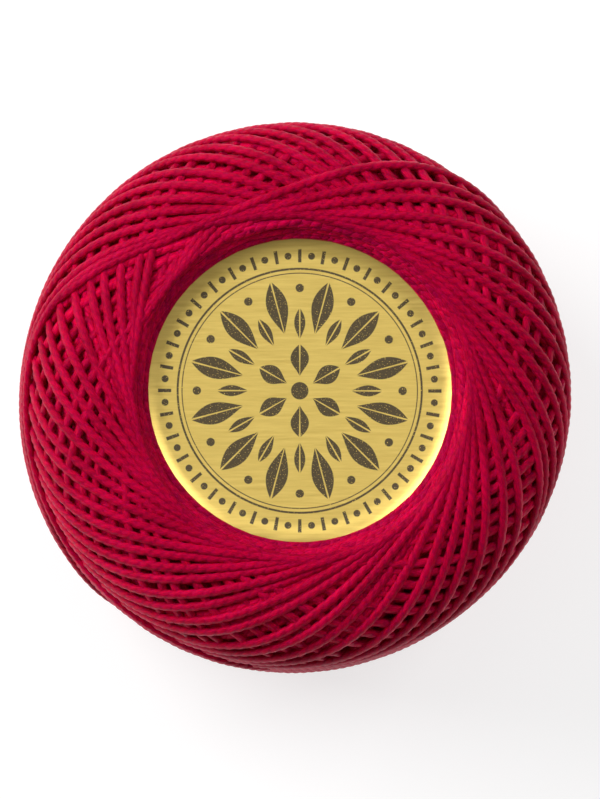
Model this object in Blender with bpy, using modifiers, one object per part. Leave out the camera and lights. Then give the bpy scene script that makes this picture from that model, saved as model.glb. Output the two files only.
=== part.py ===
"""A ball of pearl cotton standing on one end, with a foil disc in its upper opening.

Metres, +Z up. The origin is on the surface that the ball stands on, under the winding axis.
The thread is cross-wound in tilted loops. Each loop turns round the opening at one end, crosses the
side, turns round the opening at the other end and comes back up the other side. The next loop is
laid a little further round, anticlockwise from above, so the loops build up in layers.
"""

import math

import bpy
from mathutils import Vector

# The wound ball.
BALL_RADIUS = 0.0161  # over the last layer
BALL_HEIGHT = 0.024
SHOULDER_POWER = 4.5  # of the side's superellipse: 2 is round, higher is squarer
CREST_RADIUS = 0.00987  # the ring where the loops turn, which stands highest at each end
FLAT_DEPTH = 0.0002  # how far the crest under the ball is pressed flat
FLAT_RADIUS = 0.0106  # outer edge of that flat
CREST_HALF = (BALL_HEIGHT + FLAT_DEPTH) / 2  # the crest's height over the middle of the ball
STAND_HEIGHT = CREST_HALF - FLAT_DEPTH  # from the flat up to the middle of the ball

# The opening along the axis. Heights are from the middle of the ball.
MOUTH_RADIUS = 0.0089
MOUTH_HEIGHT = 0.01095
BORE_RADIUS = 0.0076
BORE_HALF = 0.006  # the straight part of the bore
SEAT_RADIUS = 0.0083  # inner edge of the seat under the disc
SEAT_HEIGHT = 0.00955
GROOVE_RADIUS = 0.00955  # the threads close over the rim of the disc here

# The foil disc.
CLEARANCE = 0.00031  # 0.3 mm, and a little for the flat facets round the rim
DISC_RADIUS = GROOVE_RADIUS - CLEARANCE
DISC_THICKNESS = 0.00045
DISC_BOTTOM = SEAT_HEIGHT + CLEARANCE
DISC_FLAT_RADIUS = 0.0078  # the rim outside this is bent up
RIM_RISE = 0.0003

# The winding. Bundles of thread stand out as ridges, and the last layer ends in a step.
BUNDLES = 25
RIDGE_HEIGHT = 0.0001
THREAD = 0.00046
STEP_WIDTH = 0.0009  # the step is softened over this distance
LAST_TURN = math.radians(114)  # azimuth where the last loop turns, at the upper end
PLAIN_REACH = 0.0008  # ridges and step start this far from the crest
PLAIN_FADE = 0.0012  # and reach their full height over this distance

# How finely the shapes are divided.
STEPS_PER_BUNDLE = 3
HALF_RINGS = 13
CREST_CROWDING = 1.4  # above 1, the rings lie closer near the crest, where the loops turn fastest
MOUTH_RINGS = 4
FLARE_RINGS = 3
RIM_RINGS = 3
DISC_STEPS = 48
MERGE_DISTANCE = 1e-6

CRIMSON = (0.42, 0.0, 0.035, 1.0)
FOIL_GOLD = (0.72, 0.53, 0.16, 1.0)


def clear_scene():
    for obj in list(bpy.data.objects):
        bpy.data.objects.remove(obj, do_unlink=True)


def make_material(name, colour, roughness, metallic):
    material = bpy.data.materials.new(name)
    material.use_nodes = True
    shader = material.node_tree.nodes["Principled BSDF"]
    shader.inputs["Base Color"].default_value = colour
    shader.inputs["Roughness"].default_value = roughness
    shader.inputs["Metallic"].default_value = metallic
    return material


def smoothstep(x):
    x = min(max(x, 0.0), 1.0)
    return x * x * (3 - 2 * x)


def arc(centre, radii, start, end, rings):
    """Points of an elliptic arc in the profile's plane, without its first point."""
    points = []
    for i in range(1, rings + 1):
        angle = math.radians(start + (end - start) * i / rings)
        across = centre[0] + radii[0] * math.cos(angle)
        points.append((across, centre[1] + radii[1] * math.sin(angle)))
    return points


def side_profile():
    """The outer side from the upper crest to the lower one, as (radius, height over the middle)."""
    share = CREST_RADIUS / BALL_RADIUS
    half = CREST_HALF / (1 - share**SHOULDER_POWER) ** (1 / SHOULDER_POWER)
    start = math.atan2(share, CREST_HALF / half)
    upper = []
    for i in range(HALF_RINGS + 1):
        angle = start + (math.pi / 2 - start) * (i / HALF_RINGS) ** CREST_CROWDING
        across, up = math.sin(angle), math.cos(angle)
        scale = (across**SHOULDER_POWER + up**SHOULDER_POWER) ** (-1 / SHOULDER_POWER)
        upper.append((BALL_RADIUS * across * scale, half * up * scale))
    lower = [(radius, -height) for radius, height in reversed(upper[:-1])]
    lower.insert(-1, (FLAT_RADIUS, -STAND_HEIGHT))
    return upper + lower


def opening_profile():
    """The inside from the lower crest up to the upper one, without the crests themselves."""
    lip = (CREST_RADIUS - MOUTH_RADIUS, CREST_HALF - MOUTH_HEIGHT)
    lower_flare = (MOUTH_RADIUS - BORE_RADIUS, MOUTH_HEIGHT - BORE_HALF)
    upper_flare = (SEAT_RADIUS - BORE_RADIUS, SEAT_HEIGHT - BORE_HALF)
    points = arc((CREST_RADIUS, -MOUTH_HEIGHT), lip, 270, 180, MOUTH_RINGS)
    points += arc((MOUTH_RADIUS, -BORE_HALF), lower_flare, 270, 180, FLARE_RINGS)
    points += [(BORE_RADIUS, 0.0), (BORE_RADIUS, BORE_HALF)]
    points += arc((SEAT_RADIUS, BORE_HALF), upper_flare, 180, 90, FLARE_RINGS)
    points += [(GROOVE_RADIUS, SEAT_HEIGHT), (GROOVE_RADIUS, MOUTH_HEIGHT), (MOUTH_RADIUS, MOUTH_HEIGHT)]
    points += arc((CREST_RADIUS, MOUTH_HEIGHT), lip, 180, 90, MOUTH_RINGS)[:-1]
    return points


def lay_angle(radius, height):
    """How far round the ball a loop has run here, from where it turned at the nearer crest.

    A loop is flat, so its reach from the axis, towards where it turned, falls with its height.
    """
    reach = CREST_RADIUS / radius * abs(height) / CREST_HALF
    return math.acos(min(reach, 1.0))


def sunk_by_layer(azimuth, radius, height):
    """How far the surface lies below the last layer laid.

    The last loop's two arms each end a layer, so the surface drops by a thread just past an arm, and
    climbs back slowly until the next arm.
    """
    turn = LAST_TURN if height > 0 else LAST_TURN + math.pi
    reach = lay_angle(radius, height)
    past = math.remainder(azimuth - turn, 2 * math.pi)
    if abs(past) < reach:
        since_arm, gap = past + reach, 2 * reach
    else:
        since_arm, gap = past % (2 * math.pi) - reach, 2 * math.pi - 2 * reach
    return THREAD * (1 - since_arm / gap) * smoothstep(since_arm * radius / STEP_WIDTH)


def wound(point, outward):
    """A turned point moved round its ring and in along the profile, so that the winding shows."""
    radius, height = math.hypot(point.x, point.y), point.z
    start = math.atan2(point.y, point.x)
    azimuth = start - max(lay_angle(radius, height) - lay_angle(FLAT_RADIUS, STAND_HEIGHT), 0.0)
    from_crest = math.hypot(radius - CREST_RADIUS, abs(height) - CREST_HALF)
    shown = smoothstep((from_crest - PLAIN_REACH) / PLAIN_FADE)
    sunk = RIDGE_HEIGHT * (1 - math.cos(BUNDLES * start)) + sunk_by_layer(azimuth, radius, height)
    radius -= sunk * shown * outward.x
    height -= sunk * shown * outward.y
    return Vector((radius * math.cos(azimuth), radius * math.sin(azimuth), height))


def turned_mesh(name, profile, steps, closed):
    """The mesh of a profile turned about Z by a Screw modifier."""
    edges = [(i, i + 1) for i in range(len(profile) - 1)]
    if closed:
        edges.append((len(profile) - 1, 0))
    outline = bpy.data.meshes.new(name + "_profile")
    outline.from_pydata([(radius, 0.0, height) for radius, height in profile], edges, [])
    guide = bpy.data.objects.new(name + "_profile", outline)
    bpy.context.scene.collection.objects.link(guide)
    screw = guide.modifiers.new("Turn", "SCREW")
    screw.steps = screw.render_steps = steps
    screw.use_merge_vertices = True
    screw.merge_threshold = MERGE_DISTANCE
    evaluated = guide.evaluated_get(bpy.context.evaluated_depsgraph_get())
    mesh = bpy.data.meshes.new_from_object(evaluated)
    mesh.name = name
    bpy.data.objects.remove(guide, do_unlink=True)
    bpy.data.meshes.remove(outline)
    return mesh


def place(mesh, material, collection):
    mesh.materials.clear()
    mesh.materials.append(material)
    mesh.shade_smooth()
    mesh.set_sharp_from_angle(angle=math.radians(40))
    obj = bpy.data.objects.new(mesh.name, mesh)
    obj.location.z = STAND_HEIGHT
    collection.objects.link(obj)


def outward_directions(side):
    """The side's outward direction at each of its points, by the point's (radius, height)."""
    directions = {}
    for i in range(1, len(side) - 1):
        along = Vector(side[i + 1]) - Vector(side[i - 1])
        directions[ring_key(*side[i])] = Vector((-along.y, along.x)).normalized()
    return directions


def ring_key(radius, height):
    return round(radius / MERGE_DISTANCE), round(height / MERGE_DISTANCE)


def make_ball(collection):
    side = side_profile()
    mesh = turned_mesh("thread_ball", side + opening_profile(), BUNDLES * STEPS_PER_BUNDLE, closed=True)
    outward = outward_directions(side)
    for vertex in mesh.vertices:
        key = ring_key(math.hypot(vertex.co.x, vertex.co.y), vertex.co.z)
        if key in outward:
            vertex.co = wound(vertex.co, outward[key])
        vertex.co.z = max(vertex.co.z, -STAND_HEIGHT)
    place(mesh, make_material("pearl_cotton", CRIMSON, 0.55, 0.0), collection)


def make_disc(collection):
    """A thin disc, flat in the middle, with a rim that was bent up when it was pushed in."""
    upper = []
    for i in range(RIM_RINGS + 1):
        share = i / RIM_RINGS
        radius = DISC_FLAT_RADIUS + (DISC_RADIUS - DISC_FLAT_RADIUS) * share
        upper.append((radius, DISC_BOTTOM + DISC_THICKNESS + RIM_RISE * share**2))
    upper.insert(0, (0.0, upper[0][1]))
    lower = [(radius, height - DISC_THICKNESS) for radius, height in reversed(upper)]
    mesh = turned_mesh("label", upper + lower, DISC_STEPS, closed=False)
    place(mesh, make_material("gold_foil", FOIL_GOLD, 0.35, 0.9), collection)


def main():
    clear_scene()
    collection = bpy.data.collections.new("pearl_cotton_ball")
    bpy.context.scene.collection.children.link(collection)
    make_ball(collection)
    make_disc(collection)


main()
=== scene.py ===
# %% [markdown]
# # A ball of pearl cotton, wound thread by thread
# Pearl cotton is a shiny two-ply embroidery thread. A winding machine lays it on a mandrel in flat,
# tilted loops, one a little further round than the one before, so the ball grows in crossing layers
# with a funnel at each end. A disc of foil-faced card is pushed into the upper funnel.
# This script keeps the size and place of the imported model, and replaces its two plain solids with
# thread that really runs round the ball and with a printed disc.

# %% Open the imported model
import math

import bpy
import numpy as np
from mathutils import Matrix, Vector


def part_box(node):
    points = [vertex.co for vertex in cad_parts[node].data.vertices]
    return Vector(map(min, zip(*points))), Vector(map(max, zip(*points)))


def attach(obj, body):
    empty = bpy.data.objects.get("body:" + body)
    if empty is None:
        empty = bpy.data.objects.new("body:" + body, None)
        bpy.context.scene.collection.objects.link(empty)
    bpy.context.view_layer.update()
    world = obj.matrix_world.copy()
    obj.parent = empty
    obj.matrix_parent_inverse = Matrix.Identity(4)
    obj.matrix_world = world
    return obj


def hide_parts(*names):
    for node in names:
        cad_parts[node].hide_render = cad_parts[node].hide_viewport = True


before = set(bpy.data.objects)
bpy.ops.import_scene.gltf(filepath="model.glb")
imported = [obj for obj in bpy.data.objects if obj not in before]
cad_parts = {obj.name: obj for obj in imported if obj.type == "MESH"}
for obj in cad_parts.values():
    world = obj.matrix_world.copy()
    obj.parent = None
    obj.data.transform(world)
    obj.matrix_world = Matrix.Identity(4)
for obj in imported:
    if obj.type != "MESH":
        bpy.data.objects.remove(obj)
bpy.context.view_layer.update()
ball_low, ball_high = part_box("thread_ball")
label_low, label_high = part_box("label")
scene = bpy.context.scene
print("ball", [round(1000 * side, 2) for side in ball_high - ball_low], "mm over its box")

# %% [markdown]
# Node trees are long to write out, so small helpers make them short. The first adds a node and sets
# or wires its inputs in one line. The next two are for the sums that trees are full of.

# %% Helpers for node trees
def add(tree, kind, inputs=None, **settings):
    """Adds a node of a kind. Each input is set to a value, or wired if the value is a socket."""
    made = tree.nodes.new(kind)
    for name, value in settings.items():
        setattr(made, name, value)
    for key, value in (inputs or {}).items():
        if isinstance(value, bpy.types.NodeSocket):
            tree.links.new(value, made.inputs[key])
        else:
            made.inputs[key].default_value = value
    return made


def calc(tree, operation, *values, clamp=False):
    """The output of a Math node."""
    settings = {"operation": operation, "use_clamp": clamp}
    return add(tree, "ShaderNodeMath", dict(enumerate(values)), **settings).outputs[0]


def vector_calc(tree, operation, *values):
    """The output of a Vector Math node."""
    return add(tree, "ShaderNodeVectorMath", dict(enumerate(values)), operation=operation).outputs[0]


def new_group(name, kind, inputs, outputs):
    """A node group with named sockets. Returns it and its own input sockets, by name."""
    group = bpy.data.node_groups.new(name, kind)
    for way, sockets in (("INPUT", inputs), ("OUTPUT", outputs)):
        for label, socket in sockets.items():
            group.interface.new_socket(label, in_out=way, socket_type="NodeSocket" + socket)
    return group, add(group, "NodeGroupInput").outputs


print("helpers ready")

# %% [markdown]
# ## The path of the thread
# Every loop is flat. It touches the rim of the funnel at the top, crosses the side, touches the rim
# at the bottom half a turn round, and comes back up the other side. The winding angle counts the
# degrees laid, with 0 where the last loop turns at the top. The ball's side is a superellipse, and
# where a tilted plane cuts it has a simple formula: height divided by radius falls as the cosine of
# the winding angle. That gives the whole thread in one vectorised sum, with no loops in Python.

# %% Sizes of the winding, in metres and degrees
THREAD_WIDTH = 0.00057
THREAD_THICKNESS = 0.00046  # it is wound tight, so it lies a little flat
TWIST_PITCH = 0.00136  # one full turn of the two plies
BALL_RADIUS = 0.01595
SHOULDER_POWER = 5.5  # 2 would make a round ball, and a high power a cylinder
FLAT_DEPTH = 0.0002  # the ball's own weight and handling press its lower end flat
CREST_RADIUS = 0.00987  # the highest ring, round the funnel
CREST_HALF = (ball_high.z - ball_low.z + FLAT_DEPTH) / 2
MIDDLE = ball_high.z - CREST_HALF
MOUTH_RADIUS = 0.00886  # the innermost turns
MOUTH_HEIGHT = 0.01095  # over the middle of the ball, like every height here
GROOVE_RADIUS = 0.00955  # the label's edge lies in a groove of this radius

LOOPS_PER_CYCLE = 50.2  # after this many loops, the winding has gone once round the ball
CYCLES = 4  # how many are wound as real thread, of about 13
LAYER = 0.00016  # between the rising and the falling arms of a cycle
CYCLE_DEPTH = 0.0005  # between a cycle and the one before it
RIM_STEP = 0.00033  # each cycle turns this much further from the axis than the one before
LAST_TURN = 113.0  # azimuth where the last loop turns, at the top
LAST_RIM = 0.0109  # the last few loops turn further out, up to here
LAST_LOOPS = 6
UNEVEN = 0.7  # how far an arm strays to one side, in degrees, on average
RIM_UNEVEN = 0.00003  # how far a loop turns from where it should
LAYER_UNEVEN = 0.00002  # how far it sinks into the turns under it
QUICK_DROP = 2.5  # the last loops drop faster on their way down, by up to this much
SLIPS = {10: 2.5, 11: 5.7, 21: 1.2, 22: -1.3}  # loops back from the last, and how far they slipped
SLIP_AFTER_TURN = -50  # where on its loop an arm slipped, from the turn at the top
SLIP_LENGTH = 35
CROWDED_LOOP = 28  # the loops round this one lie closer together
CROWDING = 1.3  # degrees that each of them lost
CROWD = 9  # how many loops to either side
TAIL_TURNED = (0, 30, 41, 49, 58, 75, 91, 102, 127, 140, 155, 175)  # degrees after the last turn
TAIL_HEIGHT = (11.85, 11.1, 10.25, 8.7, 7.2, 5.7, 4.6, 4.0, 3.5, 2.6, -1.0, -6.5)  # mm over the middle
TAIL_LEAVES = 20  # where it leaves the path of a loop
TAIL_BLEND = 25
TAIL = 175.0
TUCKED_FROM = 140.0  # from here on, the end dives under the turns beside it
TUCK_DEPTH = 0.0009
SAMPLES_PER_LOOP = 96
print("middle of the ball", round(1000 * MIDDLE, 2), "mm up;", LOOPS_PER_CYCLE, "loops a cycle")

# %% [markdown]
# Thread has thickness, so its centre line runs half a thread under the surface that shows. On the
# funnel's lip a loop turns lower the closer it turns to the axis, so a new loop, which turns a little
# further out than those before it, always lies over them.

# %% The finished surface, half a thread below the outside
HALF_THREAD = THREAD_THICKNESS / 2
NEWEST_STANDS_OUT = 0.0001
CENTRE_RADIUS = BALL_RADIUS - HALF_THREAD + NEWEST_STANDS_OUT
CENTRE_CREST = CREST_HALF - HALF_THREAD
LIP_ACROSS = CREST_RADIUS - MOUTH_RADIUS - HALF_THREAD
LIP_UP = CENTRE_CREST - MOUTH_HEIGHT


def full_half_height(radius, height, equator):
    """The half height of the superellipse that passes through (radius, height) and the equator."""
    return height / (1 - (radius / equator) ** SHOULDER_POWER) ** (1 / SHOULDER_POWER)


def rim_height(radius):
    """How high a loop turns, for how far out it turns: on the lip of the funnel, or outside it."""
    lip = np.clip((CREST_RADIUS - radius) / LIP_ACROSS, 0, 1)
    inside = MOUTH_HEIGHT + LIP_UP * (1 - lip**1.3)
    half = full_half_height(CREST_RADIUS, CENTRE_CREST, CENTRE_RADIUS)
    share = 1 - (np.maximum(radius, CREST_RADIUS) / CENTRE_RADIUS) ** SHOULDER_POWER
    return np.where(radius < CREST_RADIUS, inside, half * share ** (1 / SHOULDER_POWER))


print("lip of the funnel", round(1000 * rim_height(np.array(0.0092)).item(), 2), "mm up at 9.2 mm")

# %% [markdown]
# A machine winds evenly, but thread is soft: an arm strays a little to one side, a few slip down the
# shoulder, and the last turns lie where the worker tucked the end under. Each of these is a smooth
# shift of the winding angle, so the thread stays one unbroken line.

# %% The thread's path, with small wanderings
chance = np.random.default_rng(12)


def wander(angle, knot, size):
    """A smooth random line along the winding: a new value every so many degrees."""
    values = chance.normal(0.0, size, int(np.ptp(angle) / knot) + 3)
    place = (angle - angle.min()) / knot
    before = np.floor(place).astype(int)
    share = place - before
    share = share * share * (3 - 2 * share)
    return values[before] * (1 - share) + values[before + 1] * share


def thread_path(angle):
    """Points of the thread's centre line at these winding angles, and the way out of the ball."""
    loops_back = np.maximum(-angle / 360, 0.0)
    cycles_back = loops_back / LOOPS_PER_CYCLE

    last = np.clip(1 - loops_back / LAST_LOOPS, 0, 1)
    rim = CREST_RADIUS - RIM_STEP * cycles_back + (LAST_RIM - CREST_RADIUS) * last**2.5
    rim += wander(angle, 180, RIM_UNEVEN) * (1 + 2 * cycles_back)
    rim = np.maximum(rim, CREST_RADIUS - LIP_ACROSS - 0.0001)
    height = rim_height(rim)
    equator = CENTRE_RADIUS - CYCLE_DEPTH * cycles_back
    half = full_half_height(rim, height, equator)

    quick = np.radians(QUICK_DROP) * last * np.sin(np.radians(2 * angle))
    steep = np.cos(np.radians(angle) + quick) * height / rim
    powers = equator**-SHOULDER_POWER + (np.abs(steep) / half) ** SHOULDER_POWER
    across = powers ** (-1 / SHOULDER_POWER)
    up = steep * across

    # After its last turn the thread leads round the side, and its end dives under the turns there.
    tail = 0.001 * np.interp(angle, TAIL_TURNED, TAIL_HEIGHT)
    tail_share = np.minimum(np.abs(tail) / half, 1)
    on_side = equator * (1 - tail_share**SHOULDER_POWER) ** (1 / SHOULDER_POWER)
    blend = np.clip((angle - TAIL_LEAVES) / TAIL_BLEND, 0, 1)
    up += blend * (tail - up)
    across += blend * (on_side - across)
    tucked = np.clip((angle - TUCKED_FROM) / (TAIL - TUCKED_FROM), 0, 1)
    across -= TUCK_DEPTH * tucked * tucked * (3 - 2 * tucked)

    slope = SHOULDER_POWER - 1
    out = np.stack([across**slope / equator**SHOULDER_POWER, np.abs(up) ** slope / half**SHOULDER_POWER])
    out /= np.hypot(*out)

    # One arm of a loop rises by half a layer as it goes, and drops back where it turns.
    from_rim = (angle + 90) % 180 - 90
    half_layer = from_rim / 180 - 0.5 * np.clip(from_rim / 20, -1, 1)
    sunk = LAYER * (0.5 - half_layer) + np.abs(wander(angle, 45, LAYER_UNEVEN))
    across = across - sunk * out[0]
    up = up - sunk * out[1] * np.sign(up)

    azimuth = LAST_TURN + angle / LOOPS_PER_CYCLE + angle + wander(angle, 90, UNEVEN)
    from_crowd = loops_back - CROWDED_LOOP
    azimuth += CROWDING * from_crowd * np.exp(-((from_crowd / CROWD) ** 2))
    for loop, slip in SLIPS.items():
        from_slip = angle + 360 * loop - SLIP_AFTER_TURN
        azimuth += slip * np.exp(-((from_slip / SLIP_LENGTH) ** 2))
    azimuth = np.radians(azimuth)

    # The thread keeps clear of the label's edge.
    beside_label = (up > label_low.z - MIDDLE - THREAD_WIDTH) & (up < MOUTH_HEIGHT - HALF_THREAD)
    across = np.where(beside_label, np.maximum(across, GROOVE_RADIUS + HALF_THREAD), across)
    z = np.maximum(up + MIDDLE, HALF_THREAD)
    points = np.stack([across * np.cos(azimuth), across * np.sin(azimuth), z], 1)
    outward = np.stack([out[0] * np.cos(azimuth), out[0] * np.sin(azimuth), out[1] * np.sign(up)], 1)
    return points, outward


def lengths_along(points):
    """The length of the line up to each of its points."""
    return np.concatenate([[0.0], np.cumsum(np.linalg.norm(np.diff(points, axis=0), axis=1))])


winding_angle = np.arange(-360 * LOOPS_PER_CYCLE * CYCLES, TAIL, 360 / SAMPLES_PER_LOOP)
thread_points, thread_outward = thread_path(winding_angle)
thread_lengths = lengths_along(thread_points)
print("the modelled cycles hold", round(float(thread_lengths[-1]), 2), "m of thread")

# %% [markdown]
# ## Thread from a line, with Geometry Nodes
# A two-ply thread is two plump plies twisted round each other. The tree takes the centre line,
# spaces points along it by a share of the twist, moves them off the line round a helix, once for
# each ply, and sweeps a small ring along each. It stores how far along the thread each point lies,
# and the direction round the ply, so that a material can run fibres along it.
# Deeper turns use one plain ring with wider spacing, which costs a tenth as much.

# %% A tree that winds a thread on a line
def store(tree, geometry, name, value, kind):
    """The geometry with a named value stored on its points."""
    inputs = {"Geometry": geometry, "Name": name, "Value": value}
    stored = add(tree, "GeometryNodeStoreNamedAttribute", inputs, data_type=kind, domain="POINT")
    return stored.outputs[0]


def off_the_line(tree, line, turn, distance, flatness):
    """The curve moved off its own line, round a helix."""
    normal = add(tree, "GeometryNodeInputNormal").outputs[0]
    tangent = add(tree, "GeometryNodeInputTangent").outputs[0]
    sideways = vector_calc(tree, "CROSS_PRODUCT", tangent, normal)
    flat_distance = calc(tree, "MULTIPLY", distance, flatness)
    steps = []
    for direction, wave, reach in ((normal, "COSINE", flat_distance), (sideways, "SINE", distance)):
        size = calc(tree, "MULTIPLY", calc(tree, wave, turn), reach)
        inputs = {0: direction, "Scale": size}
        steps.append(add(tree, "ShaderNodeVectorMath", inputs, operation="SCALE").outputs[0])
    offset = vector_calc(tree, "ADD", *steps)
    return add(tree, "GeometryNodeSetPosition", {"Geometry": line, "Offset": offset}).outputs[0]


def thread_tree(name, plies):
    """Geometry Nodes for a thread: plies is 2 for real plies, or 1 for a plain round thread."""
    inputs = {
        "Geometry": "Geometry",
        "Thread Width": "Float",
        "Flatness": "Float",
        "Twist Pitch": "Float",
        "Ring Spacing": "Float",
        "Ply Share": "Float",
        "Sides": "Int",
        "Length Before": "Float",
        "Material": "Material",
    }
    tree, given = new_group(name, "GeometryNodeTree", inputs, {"Geometry": "Geometry"})
    line = add(tree, "GeometryNodeMeshToCurve", {"Mesh": given["Geometry"]}).outputs[0]
    line = add(tree, "GeometryNodeCurveSplineType", {"Curve": line}, spline_type="CATMULL_ROM").outputs[0]
    spacing = {"Curve": line, "Length": given["Ring Spacing"]}
    line = add(tree, "GeometryNodeResampleCurve", spacing, mode="LENGTH").outputs[0]
    outward = add(tree, "GeometryNodeInputNamedAttribute", {"Name": "outward"}, data_type="FLOAT_VECTOR")
    facing = {"Curve": line, "Normal": outward.outputs["Attribute"]}
    line = add(tree, "GeometryNodeSetCurveNormal", facing, mode="FREE").outputs[0]
    along = add(tree, "GeometryNodeSplineParameter").outputs["Length"]
    along = calc(tree, "ADD", along, given["Length Before"])
    line = store(tree, line, "along", along, "FLOAT")

    radius = calc(tree, "MULTIPLY", given["Thread Width"], 0.5)
    ply_radius = calc(tree, "MULTIPLY", radius, given["Ply Share"])
    ring = {"Resolution": given["Sides"], "Radius": ply_radius if plies == 2 else radius}
    ring = add(tree, "GeometryNodeCurvePrimitiveCircle", ring).outputs[0]
    around = vector_calc(tree, "NORMALIZE", add(tree, "GeometryNodeInputPosition").outputs[0])
    ring = store(tree, ring, "around", around, "FLOAT_VECTOR")
    ring = store(tree, ring, "side", add(tree, "GeometryNodeInputIndex").outputs[0], "INT")
    squash = add(tree, "ShaderNodeCombineXYZ", {0: given["Flatness"], 1: 1.0, 2: 1.0}).outputs[0]
    ring = add(tree, "GeometryNodeTransform", {"Geometry": ring, "Scale": squash}).outputs[0]

    joined = add(tree, "GeometryNodeJoinGeometry")
    for ply in range(plies):
        path = line
        if plies == 2:
            turn = calc(tree, "DIVIDE", along, given["Twist Pitch"])
            turn = calc(tree, "MULTIPLY_ADD", turn, -math.tau, ply * math.pi)
            distance = calc(tree, "SUBTRACT", radius, ply_radius)
            path = off_the_line(tree, line, turn, distance, given["Flatness"])
        swept = {"Curve": path, "Profile Curve": ring, "Fill Caps": True}
        swept = add(tree, "GeometryNodeCurveToMesh", swept).outputs[0]
        swept = store(tree, swept, "ply", float(ply), "FLOAT")
        tree.links.new(swept, joined.inputs[0])
    smooth = add(tree, "GeometryNodeSetShadeSmooth", {"Geometry": joined.outputs[0]}).outputs[0]
    real = add(tree, "GeometryNodeRealizeInstances", {"Geometry": smooth}).outputs[0]
    dressed = {"Geometry": real, "Material": given["Material"]}
    dressed = add(tree, "GeometryNodeSetMaterial", dressed)
    add(tree, "NodeGroupOutput", {"Geometry": dressed.outputs[0]})
    return tree


two_ply = thread_tree("TwoPlyThread", 2)
plain_thread = thread_tree("PlainThread", 1)
print("trees", two_ply.name, "and", plain_thread.name)

# %% [markdown]
# A tree runs on a plain chain of edges, which carries the way out of the ball at each point, so the
# flattened thread lies flat on the turns under it. Its result is kept as an ordinary mesh.

# %% Run a tree on a line, and keep the plain mesh
def evaluated_mesh(guide, name):
    """The mesh that an object's modifiers make. The object is removed, and its own mesh with it."""
    depsgraph = bpy.context.evaluated_depsgraph_get()
    made = bpy.data.meshes.new_from_object(guide.evaluated_get(depsgraph))
    made.name = name
    source = guide.data
    bpy.data.objects.remove(guide, do_unlink=True)
    bpy.data.meshes.remove(source)
    return made


def new_object(name, mesh):
    made = bpy.data.objects.new(name, mesh)
    scene.collection.objects.link(made)
    return made


def line_object(name, points, outward):
    """A chain of edges through the points, with the way out of the ball stored on each."""
    mesh = bpy.data.meshes.new(name)
    mesh.from_pydata(points.tolist(), [(i, i + 1) for i in range(len(points) - 1)], [])
    mesh.attributes.new("outward", "FLOAT_VECTOR", "POINT").data.foreach_set("vector", outward.ravel())
    return new_object(name, mesh)


def grow(name, guide, tree, values):
    """Runs a Geometry Nodes tree on a guide, and returns an object that holds the plain result."""
    modifier = guide.modifiers.new("Tree", "NODES")
    modifier.node_group = tree
    sockets = {
        item.name: item.identifier
        for item in tree.interface.items_tree
        if item.in_out == "INPUT"
    }
    for label, value in values.items():
        modifier[sockets[label]] = value
    piece = new_object(name, evaluated_mesh(guide, name))
    piece.data.calc_loop_triangles()
    print(name, "has", len(piece.data.loop_triangles), "triangles")
    return piece


print("ready to grow thread on a line")

# %% [markdown]
# A thread is very long and very thin, so an automatic map would waste most of its texture. This one
# cuts each ply into short lengths and lays them in rows, like pencils in a box.

# %% A texture map for thread
def vertex_values(mesh, name, kind):
    """A named attribute of every vertex, as an array."""
    values = np.zeros(len(mesh.vertices), kind)
    mesh.attributes[name].data.foreach_get("value", values)
    return values


def map_thread(mesh, sides, width):
    """Writes the UV map: along the thread to the right, and round it upwards, in rows."""
    corners = np.zeros(len(mesh.loops), int)
    mesh.loops.foreach_get("vertex_index", corners)
    starts = np.zeros(len(mesh.polygons), int)
    mesh.polygons.foreach_get("loop_start", starts)
    counts = np.diff(np.append(starts, len(corners)))
    along = vertex_values(mesh, "along", np.float32)[corners]
    side = vertex_values(mesh, "side", np.int32)[corners]
    ply = vertex_values(mesh, "ply", np.float32)[corners]

    length = float(np.ptp(along))
    strips = int(ply.max()) + 1
    row_length = math.sqrt(length * strips * math.pi * width)
    rows = int(length / row_length) + 1
    first = np.repeat(np.minimum.reduceat(along, starts), counts) - along.min()
    row = np.floor(first / row_length)
    last_side = np.repeat(np.maximum.reduceat(side, starts), counts)
    side = np.where((side == 0) & (last_side == sides - 1), sides, side)
    right = (along - along.min() - row * row_length) / (1.05 * row_length)
    upward = (row + rows * ply + 0.1 + 0.8 * side / sides) / (rows * strips)
    flat = np.stack([right, upward], 1).astype(np.float32)
    mesh.uv_layers.new(name="OFBake").data.foreach_set("uv", flat.ravel())
    return rows * strips


print("map for thread ready")

# %% [markdown]
# ## Mercerised cotton
# Pearl cotton is treated to swell and straighten its fibres, so it has a silky shine that runs
# across each ply, with deep colour in between. Two effects are shared by the threads: fine fibres
# that run along a ply, and, on the plain deeper threads, the swell of the two plies.

# %% Shared effects: fibres and plies
FIBRE_STEPS = 900.0  # fibres are long and thin, so the noise changes slowly along the thread
FADE_STEPS = 220.0


def fibre_group():
    """Fine streaks along a ply, and a slow fade of the colour along the thread."""
    inputs = {"Along": "Float", "Around": "Vector", "Fineness": "Float"}
    group, given = new_group("Fibres", "ShaderNodeTree", inputs, {"Height": "Float", "Fade": "Float"})
    split = add(group, "ShaderNodeSeparateXYZ", {0: given["Around"]}).outputs
    stretched = calc(group, "MULTIPLY", given["Along"], FIBRE_STEPS)
    place = add(group, "ShaderNodeCombineXYZ", {0: split[0], 1: split[1], 2: stretched}).outputs[0]
    streaks = {"Vector": place, "Scale": given["Fineness"], "Detail": 3.0, "Roughness": 0.6}
    streaks = add(group, "ShaderNodeTexNoise", streaks).outputs[0]
    slow = calc(group, "MULTIPLY", given["Along"], FADE_STEPS)
    slow = add(group, "ShaderNodeCombineXYZ", {2: slow}).outputs[0]
    slow = add(group, "ShaderNodeTexNoise", {"Vector": slow, "Scale": 1.0, "Detail": 2.0}).outputs[0]
    add(group, "NodeGroupOutput", {"Height": streaks, "Fade": slow})
    return group


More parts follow.
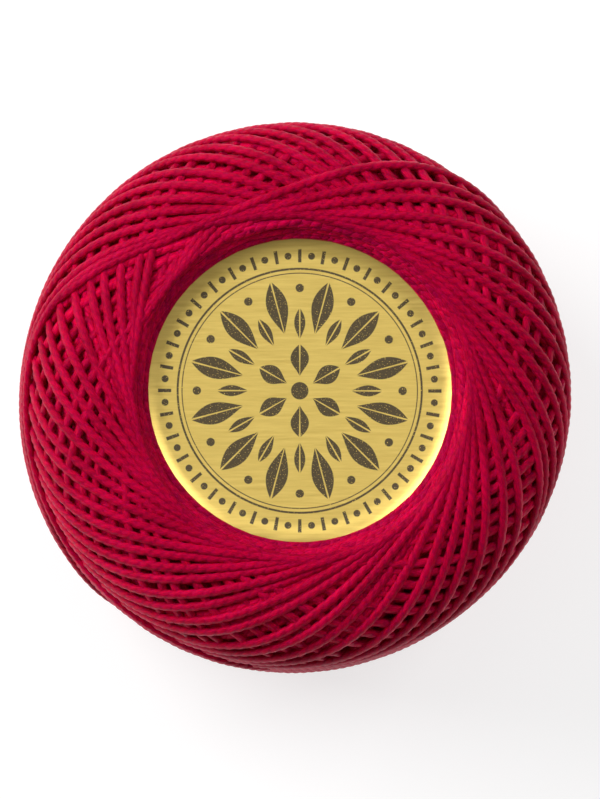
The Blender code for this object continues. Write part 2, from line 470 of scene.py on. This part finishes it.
def ply_group():
    """The swell of two plies twisted round each other, for a plain round thread."""
    inputs = {"Along": "Float", "Around": "Vector", "Twist Pitch": "Float"}
    group, given = new_group("Plies", "ShaderNodeTree", inputs, {"Height": "Float"})
    split = add(group, "ShaderNodeSeparateXYZ", {0: given["Around"]}).outputs
    side = calc(group, "ARCTAN2", split[1], split[0])
    turn = calc(group, "MULTIPLY", calc(group, "DIVIDE", given["Along"], given["Twist Pitch"]), math.tau)
    swell = calc(group, "ABSOLUTE", calc(group, "COSINE", calc(group, "ADD", side, turn)))
    add(group, "NodeGroupOutput", {"Height": calc(group, "POWER", swell, 0.6)})
    return group


fibres = fibre_group()
plies = ply_group()
print("groups", fibres.name, "and", plies.name)

# %% [markdown]
# Light goes a little way into cotton and comes out redder, which fills the gaps with deep colour, so
# the material has some subsurface scattering. Its shine is tinted crimson, because it comes from
# dyed fibres. The deeper thread sees only light that other thread has thrown back, so it is a copy of
# the same cotton with painted bounce light: its colour is painted a little lighter to lift the shade
# in the gaps, and a little bluer, because that thrown-back light is redder still, so it ends up the
# same crimson.

# %% The cotton's materials
SHADE = (0.30, 0.0003, 0.017, 1)
LIGHT = (0.60, 0.0007, 0.036, 1)
# The deeper thread's colours: painted a little lighter than the outer ones, as painted bounce light in
# the gaps, and a little bluer.
DEEP_SHADE_PAINTED_BOUNCE = (0.32, 0.0003, 0.023, 1)
DEEP_LIGHT_PAINTED_BOUNCE = (0.63, 0.0008, 0.047, 1)


def plain_material(name, colour, roughness, metallic=0.0):
    material = bpy.data.materials.new(name)
    material.use_nodes = True
    shader = material.node_tree.nodes["Principled BSDF"]
    shader.inputs["Base Color"].default_value = colour
    shader.inputs["Roughness"].default_value = roughness
    shader.inputs["Metallic"].default_value = metallic
    return material, material.node_tree, shader


def attribute(tree, name, output):
    return add(tree, "ShaderNodeAttribute", attribute_name=name).outputs[output]


def cotton_material(name, shade, light, show_plies):
    """Silky dyed cotton. A plain round thread shows its two plies as bump."""
    material, tree, shader = plain_material(name, light, 0.46)
    shader.inputs["Specular IOR Level"].default_value = 0.22
    shader.inputs["Specular Tint"].default_value = (1.0, 0.03, 0.16, 1)
    shader.inputs["Sheen Weight"].default_value = 0.12
    shader.inputs["Sheen Roughness"].default_value = 0.5
    shader.inputs["Sheen Tint"].default_value = (1.0, 0.015, 0.12, 1)
    shader.inputs["Subsurface Weight"].default_value = 0.5
    shader.inputs["Subsurface Radius"].default_value = (1.0, 0.04, 0.08)
    shader.inputs["Subsurface Scale"].default_value = 0.0009

    along = attribute(tree, "along", "Fac")
    around = attribute(tree, "around", "Vector")
    strands = add(tree, "ShaderNodeGroup", node_tree=fibres)
    tree.links.new(along, strands.inputs["Along"])
    tree.links.new(around, strands.inputs["Around"])
    strands.inputs["Fineness"].default_value = 5.0
    mixed = calc(tree, "MULTIPLY_ADD", strands.outputs["Height"], 1.3, -0.65)
    mixed = calc(tree, "ADD", strands.outputs["Fade"], mixed)
    colour = add(tree, "ShaderNodeValToRGB", {"Fac": mixed})
    colour.color_ramp.elements[0].position = 0.3
    colour.color_ramp.elements[0].color = shade
    colour.color_ramp.elements[1].position = 0.7
    colour.color_ramp.elements[1].color = light
    tree.links.new(colour.outputs[0], shader.inputs["Base Color"])
    bump = {"Height": strands.outputs["Height"], "Strength": 0.5, "Distance": 0.00003}
    bump = add(tree, "ShaderNodeBump", bump).outputs[0]
    if show_plies:
        swell = add(tree, "ShaderNodeGroup", node_tree=plies)
        tree.links.new(along, swell.inputs["Along"])
        tree.links.new(around, swell.inputs["Around"])
        swell.inputs["Twist Pitch"].default_value = TWIST_PITCH
        rounded = {"Height": swell.outputs["Height"], "Normal": bump}
        rounded.update({"Strength": 0.8, "Distance": 0.00009})
        bump = add(tree, "ShaderNodeBump", rounded).outputs[0]
    tree.links.new(bump, shader.inputs["Normal"])
    return material


cotton = cotton_material("wound_cotton", SHADE, LIGHT, False)
# The deeper turns, the first turns and the core get the lighter, bluer copy with painted bounce light.
deep_cotton_painted_bounce = cotton_material("deep_cotton_painted_bounce", DEEP_SHADE_PAINTED_BOUNCE, DEEP_LIGHT_PAINTED_BOUNCE, True)
print("materials", cotton.name, "and", deep_cotton_painted_bounce.name)

# %% [markdown]
# ## Winding the ball
# The newest cycle is what shows, so it is wound from real plies, in pieces that each stay a
# manageable size. The cut between two pieces is at the bottom rim, where the loops lie closest.
# The cycles under it show only through the gaps, and are wound from plain thread.

# %% Wind the cycles
NEWEST_PIECES = 4
RINGS_PER_TWIST = 7
PLY_SHARE = 0.87  # of the thread's width: the plies press into each other
SIDES = 6
DEEP_SPACING = 0.001
DEEP_WIDTH = 0.00066  # the deeper thread is pressed flatter by what lies on it


def stretch_of_thread(name, start, end, tree, values):
    """Winds the thread between two winding angles."""
    first, last = np.searchsorted(winding_angle, (start, end))
    last = min(last, len(winding_angle) - 1)
    stretch = slice(first, last + 1)
    guide = line_object(name + "_line", thread_points[stretch], thread_outward[stretch])
    values = {
        "Thread Width": THREAD_WIDTH,
        "Flatness": THREAD_THICKNESS / THREAD_WIDTH,
        "Length Before": float(thread_lengths[first]),
        **values,
    }
    piece = grow(name, guide, tree, values)
    rows = map_thread(piece.data, values["Sides"], values["Thread Width"])
    print(name, "is mapped in", rows, "rows")
    return piece


pieces = []
cuts = [360.0 * round(share) - 180.0 for share in np.linspace(-LOOPS_PER_CYCLE, 0, NEWEST_PIECES + 1)]
cuts[-1] = TAIL
for number in range(NEWEST_PIECES):
    values = {
        "Twist Pitch": TWIST_PITCH,
        "Ring Spacing": TWIST_PITCH / RINGS_PER_TWIST,
        "Ply Share": PLY_SHARE,
        "Sides": SIDES,
        "Material": cotton,
    }
    name = f"newest_turns_{number + 1}"
    pieces.append(stretch_of_thread(name, cuts[number], cuts[number + 1], two_ply, values))

for cycle in range(1, CYCLES):
    values = {
        "Thread Width": DEEP_WIDTH,
        "Ring Spacing": DEEP_SPACING,
        "Sides": SIDES,
        "Material": deep_cotton_painted_bounce,
    }
    end = cuts[0] - (cycle - 1) * 360 * LOOPS_PER_CYCLE
    start = winding_angle[0] if cycle == CYCLES - 1 else end - 360 * LOOPS_PER_CYCLE
    pieces.append(stretch_of_thread(f"deeper_turns_{cycle}", start, end, plain_thread, values))

# %% [markdown]
# ## The first turns and the core
# The first loops were laid on the bare mandrel, so they line the bore once it is pulled out. Each is
# a flat tilted ring on a cylinder. About eight more cycles lie between them and the outer ones,
# where nothing shows but dark red thread, and those are one turned solid.

# %% Wind the first cycle on the mandrel
MANDREL_RADIUS = 0.0077
FIRST_HALF = 0.0095
FIRST_STEP = 7.5  # degrees of winding between two points
FIRST_SPACING = 0.0006


def first_path(angle):
    """Points of the first loops, and the way out of the ball."""
    azimuth = np.radians(angle * (1 + 1 / LOOPS_PER_CYCLE)) + wander(angle, 90, np.radians(UNEVEN))
    across = MANDREL_RADIUS + HALF_THREAD + LAYER * (0.5 + 0.5 * np.tanh(4 * np.sin(np.radians(angle))))
    sideways = np.stack([np.cos(azimuth), np.sin(azimuth), np.zeros_like(azimuth)], 1)
    points = sideways * across[:, None]
    points[:, 2] = MIDDLE + FIRST_HALF * np.cos(np.radians(angle))
    return points, sideways


first_angle = np.arange(0, 360 * LOOPS_PER_CYCLE, FIRST_STEP)
first_points, first_outward = first_path(first_angle)
values = {
    "Thread Width": THREAD_WIDTH,
    "Flatness": THREAD_THICKNESS / THREAD_WIDTH,
    "Ring Spacing": FIRST_SPACING,
    "Sides": SIDES,
    "Material": deep_cotton_painted_bounce,
}
guide = line_object("first_turns_line", first_points, first_outward)
pieces.append(grow("first_turns", guide, plain_thread, values))
first_rows = map_thread(pieces[-1].data, SIDES, THREAD_WIDTH)
first_metres = lengths_along(first_points)[-1]
print("the first cycle holds", round(float(first_metres), 2), "m in", first_rows, "rows")

# %% Turn the core
def turned(name, profile, steps, material):
    """A closed solid of revolution from a list of (radius, height), by the Screw modifier."""
    closed = profile[0][0] > 0
    edges = [(i, (i + 1) % len(profile)) for i in range(len(profile) - (not closed))]
    mesh = bpy.data.meshes.new(name + "_profile")
    mesh.from_pydata([(radius, 0.0, height) for radius, height in profile], edges, [])
    guide = new_object(name + "_guide", mesh)
    screw = guide.modifiers.new("Turn", "SCREW")
    screw.steps = screw.render_steps = steps
    screw.use_merge_vertices = True
    screw.merge_threshold = 1e-6
    made = evaluated_mesh(guide, name)
    made.materials.clear()
    made.materials.append(material)
    made.shade_smooth()
    return new_object(name, made)


CORE_RADIUS = CENTRE_RADIUS - CYCLE_DEPTH * CYCLES
CORE_RINGS = 24
CORE_STEPS = 96
BORE = ((0.0083, -0.0095), (0.0081, -0.007), (0.0081, 0.007), (0.0083, 0.0095))
CORE_CREST = (0.0096, 0.0098)  # radius and half height
core_half = full_half_height(*CORE_CREST, CORE_RADIUS)
core_profile = []
for step in range(CORE_RINGS + 1):
    turn = math.pi * step / CORE_RINGS
    across, up = math.sin(turn), math.cos(turn)
    size = (across**SHOULDER_POWER + abs(up) ** SHOULDER_POWER) ** (-1 / SHOULDER_POWER)
    if CORE_RADIUS * across * size > BORE[0][0]:
        core_profile.append((CORE_RADIUS * across * size, MIDDLE + core_half * up * size))
core_profile += [(radius, MIDDLE + height) for radius, height in BORE]
pieces.append(turned("inner_turns", core_profile, CORE_STEPS, deep_cotton_painted_bounce))
print("core", round(1000 * CORE_RADIUS, 2), "mm in radius")

# %% [markdown]
# ## The label
# A disc of card faced with brushed gold foil, whose rim was bent up a little as it was pushed in.
# The print is one dark ink: a ring of dots and bars, two thin lines and a rosette of leaves. Each
# mark is a distance sum on Object coordinates, so it stays sharp at any size and needs no image.
# Sizes on the label are in millimetres, from its middle.

# %% Shared effects: print and brushed foil
BORDER_RADIUS = 7.75
BORDER_CELLS = 36
BORDER_DOT = 0.2
LINES = ((7.0, 0.06), (6.75, 0.03))  # radius and half width
LEAVES = (  # where its cells are measured, how many, shift, start, end, half width
    (4.9, 12, 0.0, 3.3, 6.5, 0.62),
    (3.9, 12, 0.5, 2.9, 4.8, 0.34),
    (2.0, 6, 0.0, 0.8, 2.7, 0.6),
)
OUTER_DOTS = (5.9, 12, 0.24)  # radius, how many, size
MIDDLE_DOT = 0.5


def mark(tree, distance, half_width, soft=0.03):
    """1 within a half width of a line and 0 outside it, with a soft edge."""
    away = calc(tree, "SUBTRACT", half_width, calc(tree, "ABSOLUTE", distance))
    return calc(tree, "MULTIPLY_ADD", away, 1 / soft, 0.5, clamp=True)


def ring_cells(tree, angle, radius, count, shift=0.0):
    """Cuts a ring into cells. Gives the distance round from the middle of the cell."""
    turns = calc(tree, "MULTIPLY_ADD", angle, count / math.tau, shift)
    cell = calc(tree, "SUBTRACT", calc(tree, "FRACT", turns), 0.5)
    return calc(tree, "MULTIPLY", calc(tree, "MULTIPLY", cell, math.tau / count), radius)


def dot(tree, across, up, size):
    squares = calc(tree, "MULTIPLY_ADD", across, across, calc(tree, "MULTIPLY", up, up))
    return mark(tree, calc(tree, "SQRT", squares), size)


def leaf(tree, across, radius, start, end, width):
    """A pointed leaf with a bare line down its middle."""
    share = calc(tree, "DIVIDE", calc(tree, "SUBTRACT", radius, start), end - start, clamp=True)
    edge = calc(tree, "MULTIPLY", calc(tree, "SINE", calc(tree, "MULTIPLY", share, math.pi)), width)
    body = mark(tree, across, calc(tree, "SUBTRACT", edge, 0.02))
    vein = mark(tree, across, 0.035)
    return calc(tree, "MULTIPLY", body, calc(tree, "SUBTRACT", 1.0, vein))


def print_group():
    """Where the ink lies: a border of dots and bars, two lines, leaves and dots."""
    group, given = new_group("Print", "ShaderNodeTree", {"Position": "Vector"}, {"Ink": "Float"})
    split = add(group, "ShaderNodeSeparateXYZ", {0: given["Position"]}).outputs
    x, y = (calc(group, "MULTIPLY", split[axis], 1000.0) for axis in (0, 1))
    angle = calc(group, "ARCTAN2", y, x)
    squares = calc(group, "ADD", calc(group, "MULTIPLY", x, x), calc(group, "MULTIPLY", y, y))
    radius = calc(group, "SQRT", squares)

    from_border = calc(group, "SUBTRACT", radius, BORDER_RADIUS)
    cells = ring_cells(group, angle, BORDER_RADIUS, BORDER_CELLS)
    marks = [dot(group, cells, from_border, BORDER_DOT)]
    bar = mark(group, ring_cells(group, angle, BORDER_RADIUS, BORDER_CELLS, 0.5), 0.1)
    marks.append(calc(group, "MULTIPLY", bar, mark(group, from_border, 0.38)))
    for line, half_width in LINES:
        marks.append(mark(group, calc(group, "SUBTRACT", radius, line), half_width))
    for measured, count, shift, start, end, width in LEAVES:
        cells = ring_cells(group, angle, measured, count, shift)
        marks.append(leaf(group, cells, radius, start, end, width))
    ring, count, size = OUTER_DOTS
    cells = ring_cells(group, angle, ring, count, 0.5)
    marks.append(dot(group, cells, calc(group, "SUBTRACT", radius, ring), size))
    marks.append(dot(group, radius, 0.0, MIDDLE_DOT))
    ink = marks[0]
    for other in marks[1:]:
        ink = calc(group, "MAXIMUM", ink, other)

    # Cheap ink leaves pinholes where the foil shows through.
    specks = {"Vector": given["Position"], "Scale": 14000.0, "Detail": 1.0}
    specks = add(group, "ShaderNodeTexNoise", specks).outputs[0]
    solid = calc(group, "MULTIPLY_ADD", specks, 12.0, -3.3, clamp=True)
    add(group, "NodeGroupOutput", {"Ink": calc(group, "MULTIPLY", ink, solid)})
    return group


def brushed_group():
    """Fine streaks across the foil, as its rollers leave them."""
    group, given = new_group("Brushed", "ShaderNodeTree", {"Position": "Vector"}, {"Height": "Float"})
    split = add(group, "ShaderNodeSeparateXYZ", {0: given["Position"]}).outputs
    slow = calc(group, "MULTIPLY", split[0], 0.06)
    stretched = add(group, "ShaderNodeCombineXYZ", {0: slow, 1: split[1]})
    streaks = {"Vector": stretched.outputs[0], "Scale": 5200.0, "Detail": 4.0, "Roughness": 0.7}
    streaks = add(group, "ShaderNodeTexNoise", streaks).outputs[0]
    add(group, "NodeGroupOutput", {"Height": streaks})
    return group


printed = print_group()
brushed = brushed_group()
print("groups", printed.name, "and", brushed.name)

# %% [markdown]
# Foil is metal and ink isn't, so the ink switches off the metal as well as changing the colour. The
# streaks change the colour, the roughness and the bump of the foil a little.

# %% Foil with its print
GOLD = (0.80, 0.59, 0.155, 1)
DULL_GOLD = (0.70, 0.50, 0.12, 1)
INK = (0.055, 0.036, 0.010, 1)

foil, tree, shader = plain_material("gold_foil", GOLD, 0.34, 0.75)
place = add(tree, "ShaderNodeTexCoord").outputs["Object"]
ink = add(tree, "ShaderNodeGroup", node_tree=printed)
tree.links.new(place, ink.inputs["Position"])
streaks = add(tree, "ShaderNodeGroup", node_tree=brushed)
tree.links.new(place, streaks.inputs["Position"])
gold = add(tree, "ShaderNodeValToRGB", {"Fac": streaks.outputs["Height"]})
gold.color_ramp.elements[0].position = 0.35
gold.color_ramp.elements[0].color = DULL_GOLD
gold.color_ramp.elements[1].position = 0.65
gold.color_ramp.elements[1].color = GOLD
both = add(tree, "ShaderNodeMix", data_type="RGBA")
tree.links.new(ink.outputs["Ink"], both.inputs["Factor"])
tree.links.new(gold.outputs[0], both.inputs[6])
both.inputs[7].default_value = INK
tree.links.new(both.outputs[2], shader.inputs["Base Color"])
metal = calc(tree, "MULTIPLY_ADD", ink.outputs["Ink"], -0.75, 0.75)
tree.links.new(metal, shader.inputs["Metallic"])
rough = calc(tree, "MULTIPLY_ADD", streaks.outputs["Height"], 0.3, 0.2)
tree.links.new(rough, shader.inputs["Roughness"])
bump = {"Height": streaks.outputs["Height"], "Strength": 0.35, "Distance": 0.00002}
tree.links.new(add(tree, "ShaderNodeBump", bump).outputs[0], shader.inputs["Normal"])
print("material", foil.name)

# %% [markdown]
# The disc is turned like the core. Its rim rises where the thread holds it, which is what catches
# the light round its edge. The faces that look down get plain card.

# %% Cut the label
DISC_RADIUS = label_high.x
DISC_STEPS = 128
BEND_START = 0.0076
BEND_RINGS = 12
CARD = 0.0003
BEND = 0.0005
flat_top = label_high.z - CARD
profile = [(0.0, flat_top)]
for step in range(BEND_RINGS + 1):
    radius = BEND_START + (DISC_RADIUS - BEND_START) * step / BEND_RINGS
    profile.append((radius, flat_top + BEND * (step / BEND_RINGS) ** 2))
profile += [(radius, height - CARD) for radius, height in reversed(profile)]
label = turned("gold_label", profile, DISC_STEPS, foil)
card, tree, shader = plain_material("label_card", (0.46, 0.42, 0.36, 1), 0.85)
label.data.materials.append(card)
for face in label.data.polygons:
    face.material_index = int(face.normal.z < 0.3)
print("label", round(2000 * DISC_RADIUS, 1), "mm across, with", len(label.data.polygons), "faces")

# %% [markdown]
# ## Attaching
# The ball and its label move as one body. The plain solids that they replace are hidden.

# %% Attach everything
for piece in pieces:
    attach(piece, "root")
    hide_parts("thread_ball")
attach(label, "root")
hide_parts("label")
print(len(pieces), "pieces of thread and one label attached")

# %% [markdown]
# ## The picture
# The ball stands on a pale floor that glows a little, as a light table does. The camera looks nearly
# straight down, from far off. A large light at the upper left gives the bright side, and a weak one
# at the right keeps the far side red.

# %% Floor
FLOOR = 1.0
corners = [(-FLOOR, -FLOOR, 0), (FLOOR, -FLOOR, 0), (FLOOR, FLOOR, 0), (-FLOOR, FLOOR, 0)]
floor_mesh = bpy.data.meshes.new("floor")
floor_mesh.from_pydata(corners, [], [(0, 1, 2, 3)])
studio_white, tree, shader = plain_material("studio_white", (0.3, 0.3, 0.3, 1), 0.9)
shader.inputs["Emission Color"].default_value = (1, 1, 1, 1)
shader.inputs["Emission Strength"].default_value = 0.72
floor_mesh.materials.append(studio_white)
new_object("floor", floor_mesh)
print("floor", 2 * FLOOR, "m wide")

# %% Camera
CAMERA_DISTANCE = 0.7
VIEW_WIDTH = 0.0349
SENSOR_WIDTH = 36.0
LEAN = math.radians(3.55)
LEAN_TOWARDS = Vector((-6.7, -9.0, 0.0)).normalized()
AIM_RIGHT = 0.000395
AIM_UP = 0.00001
to_camera = (Vector((0, 0, 1)) * math.cos(LEAN) + LEAN_TOWARDS * math.sin(LEAN)).normalized()
image_up = (Vector((0, 1, 0)) - to_camera * to_camera.y).normalized()
image_right = image_up.cross(to_camera)
centre = Vector((0.0, 0.0, MIDDLE))
camera_data = bpy.data.cameras.new("camera")
camera_data.sensor_fit = "HORIZONTAL"
camera_data.sensor_width = SENSOR_WIDTH
camera_data.lens = SENSOR_WIDTH * CAMERA_DISTANCE / VIEW_WIDTH
camera_data.clip_start = 0.01
camera = new_object("camera", camera_data)
camera.location = centre + image_right * AIM_RIGHT + image_up * AIM_UP + to_camera * CAMERA_DISTANCE
camera.rotation_euler = Matrix((image_right, image_up, to_camera)).transposed().to_euler()
scene.camera = camera
print("lens", round(camera_data.lens), "mm")

# %% Light
def soft_box(name, place, size, power):
    light = bpy.data.lights.new(name, "AREA")
    light.shape = "RECTANGLE"
    light.size, light.size_y = size
    light.energy = power
    lamp = new_object(name, light)
    lamp.location = place
    lamp.rotation_euler = (centre - Vector(place)).to_track_quat("-Z", "Y").to_euler()


soft_box("key_upper_left", (-0.285, 0.16, 0.27), (0.3, 0.2), 2.2)
soft_box("fill_right", (0.22, 0.16, 0.28), (0.15, 0.15), 0.42)
soft_box("overhead", (0.0, 0.14, 0.50), (0.18, 0.18), 0.2)
world = bpy.data.worlds.new("studio")
world.use_nodes = True
background = world.node_tree.nodes["Background"]
background.inputs["Color"].default_value = (1, 1, 1, 1)
background.inputs["Strength"].default_value = 0.24
scene.world = world
scene.view_settings.view_transform = "Standard"
print("three lamps and a pale world")
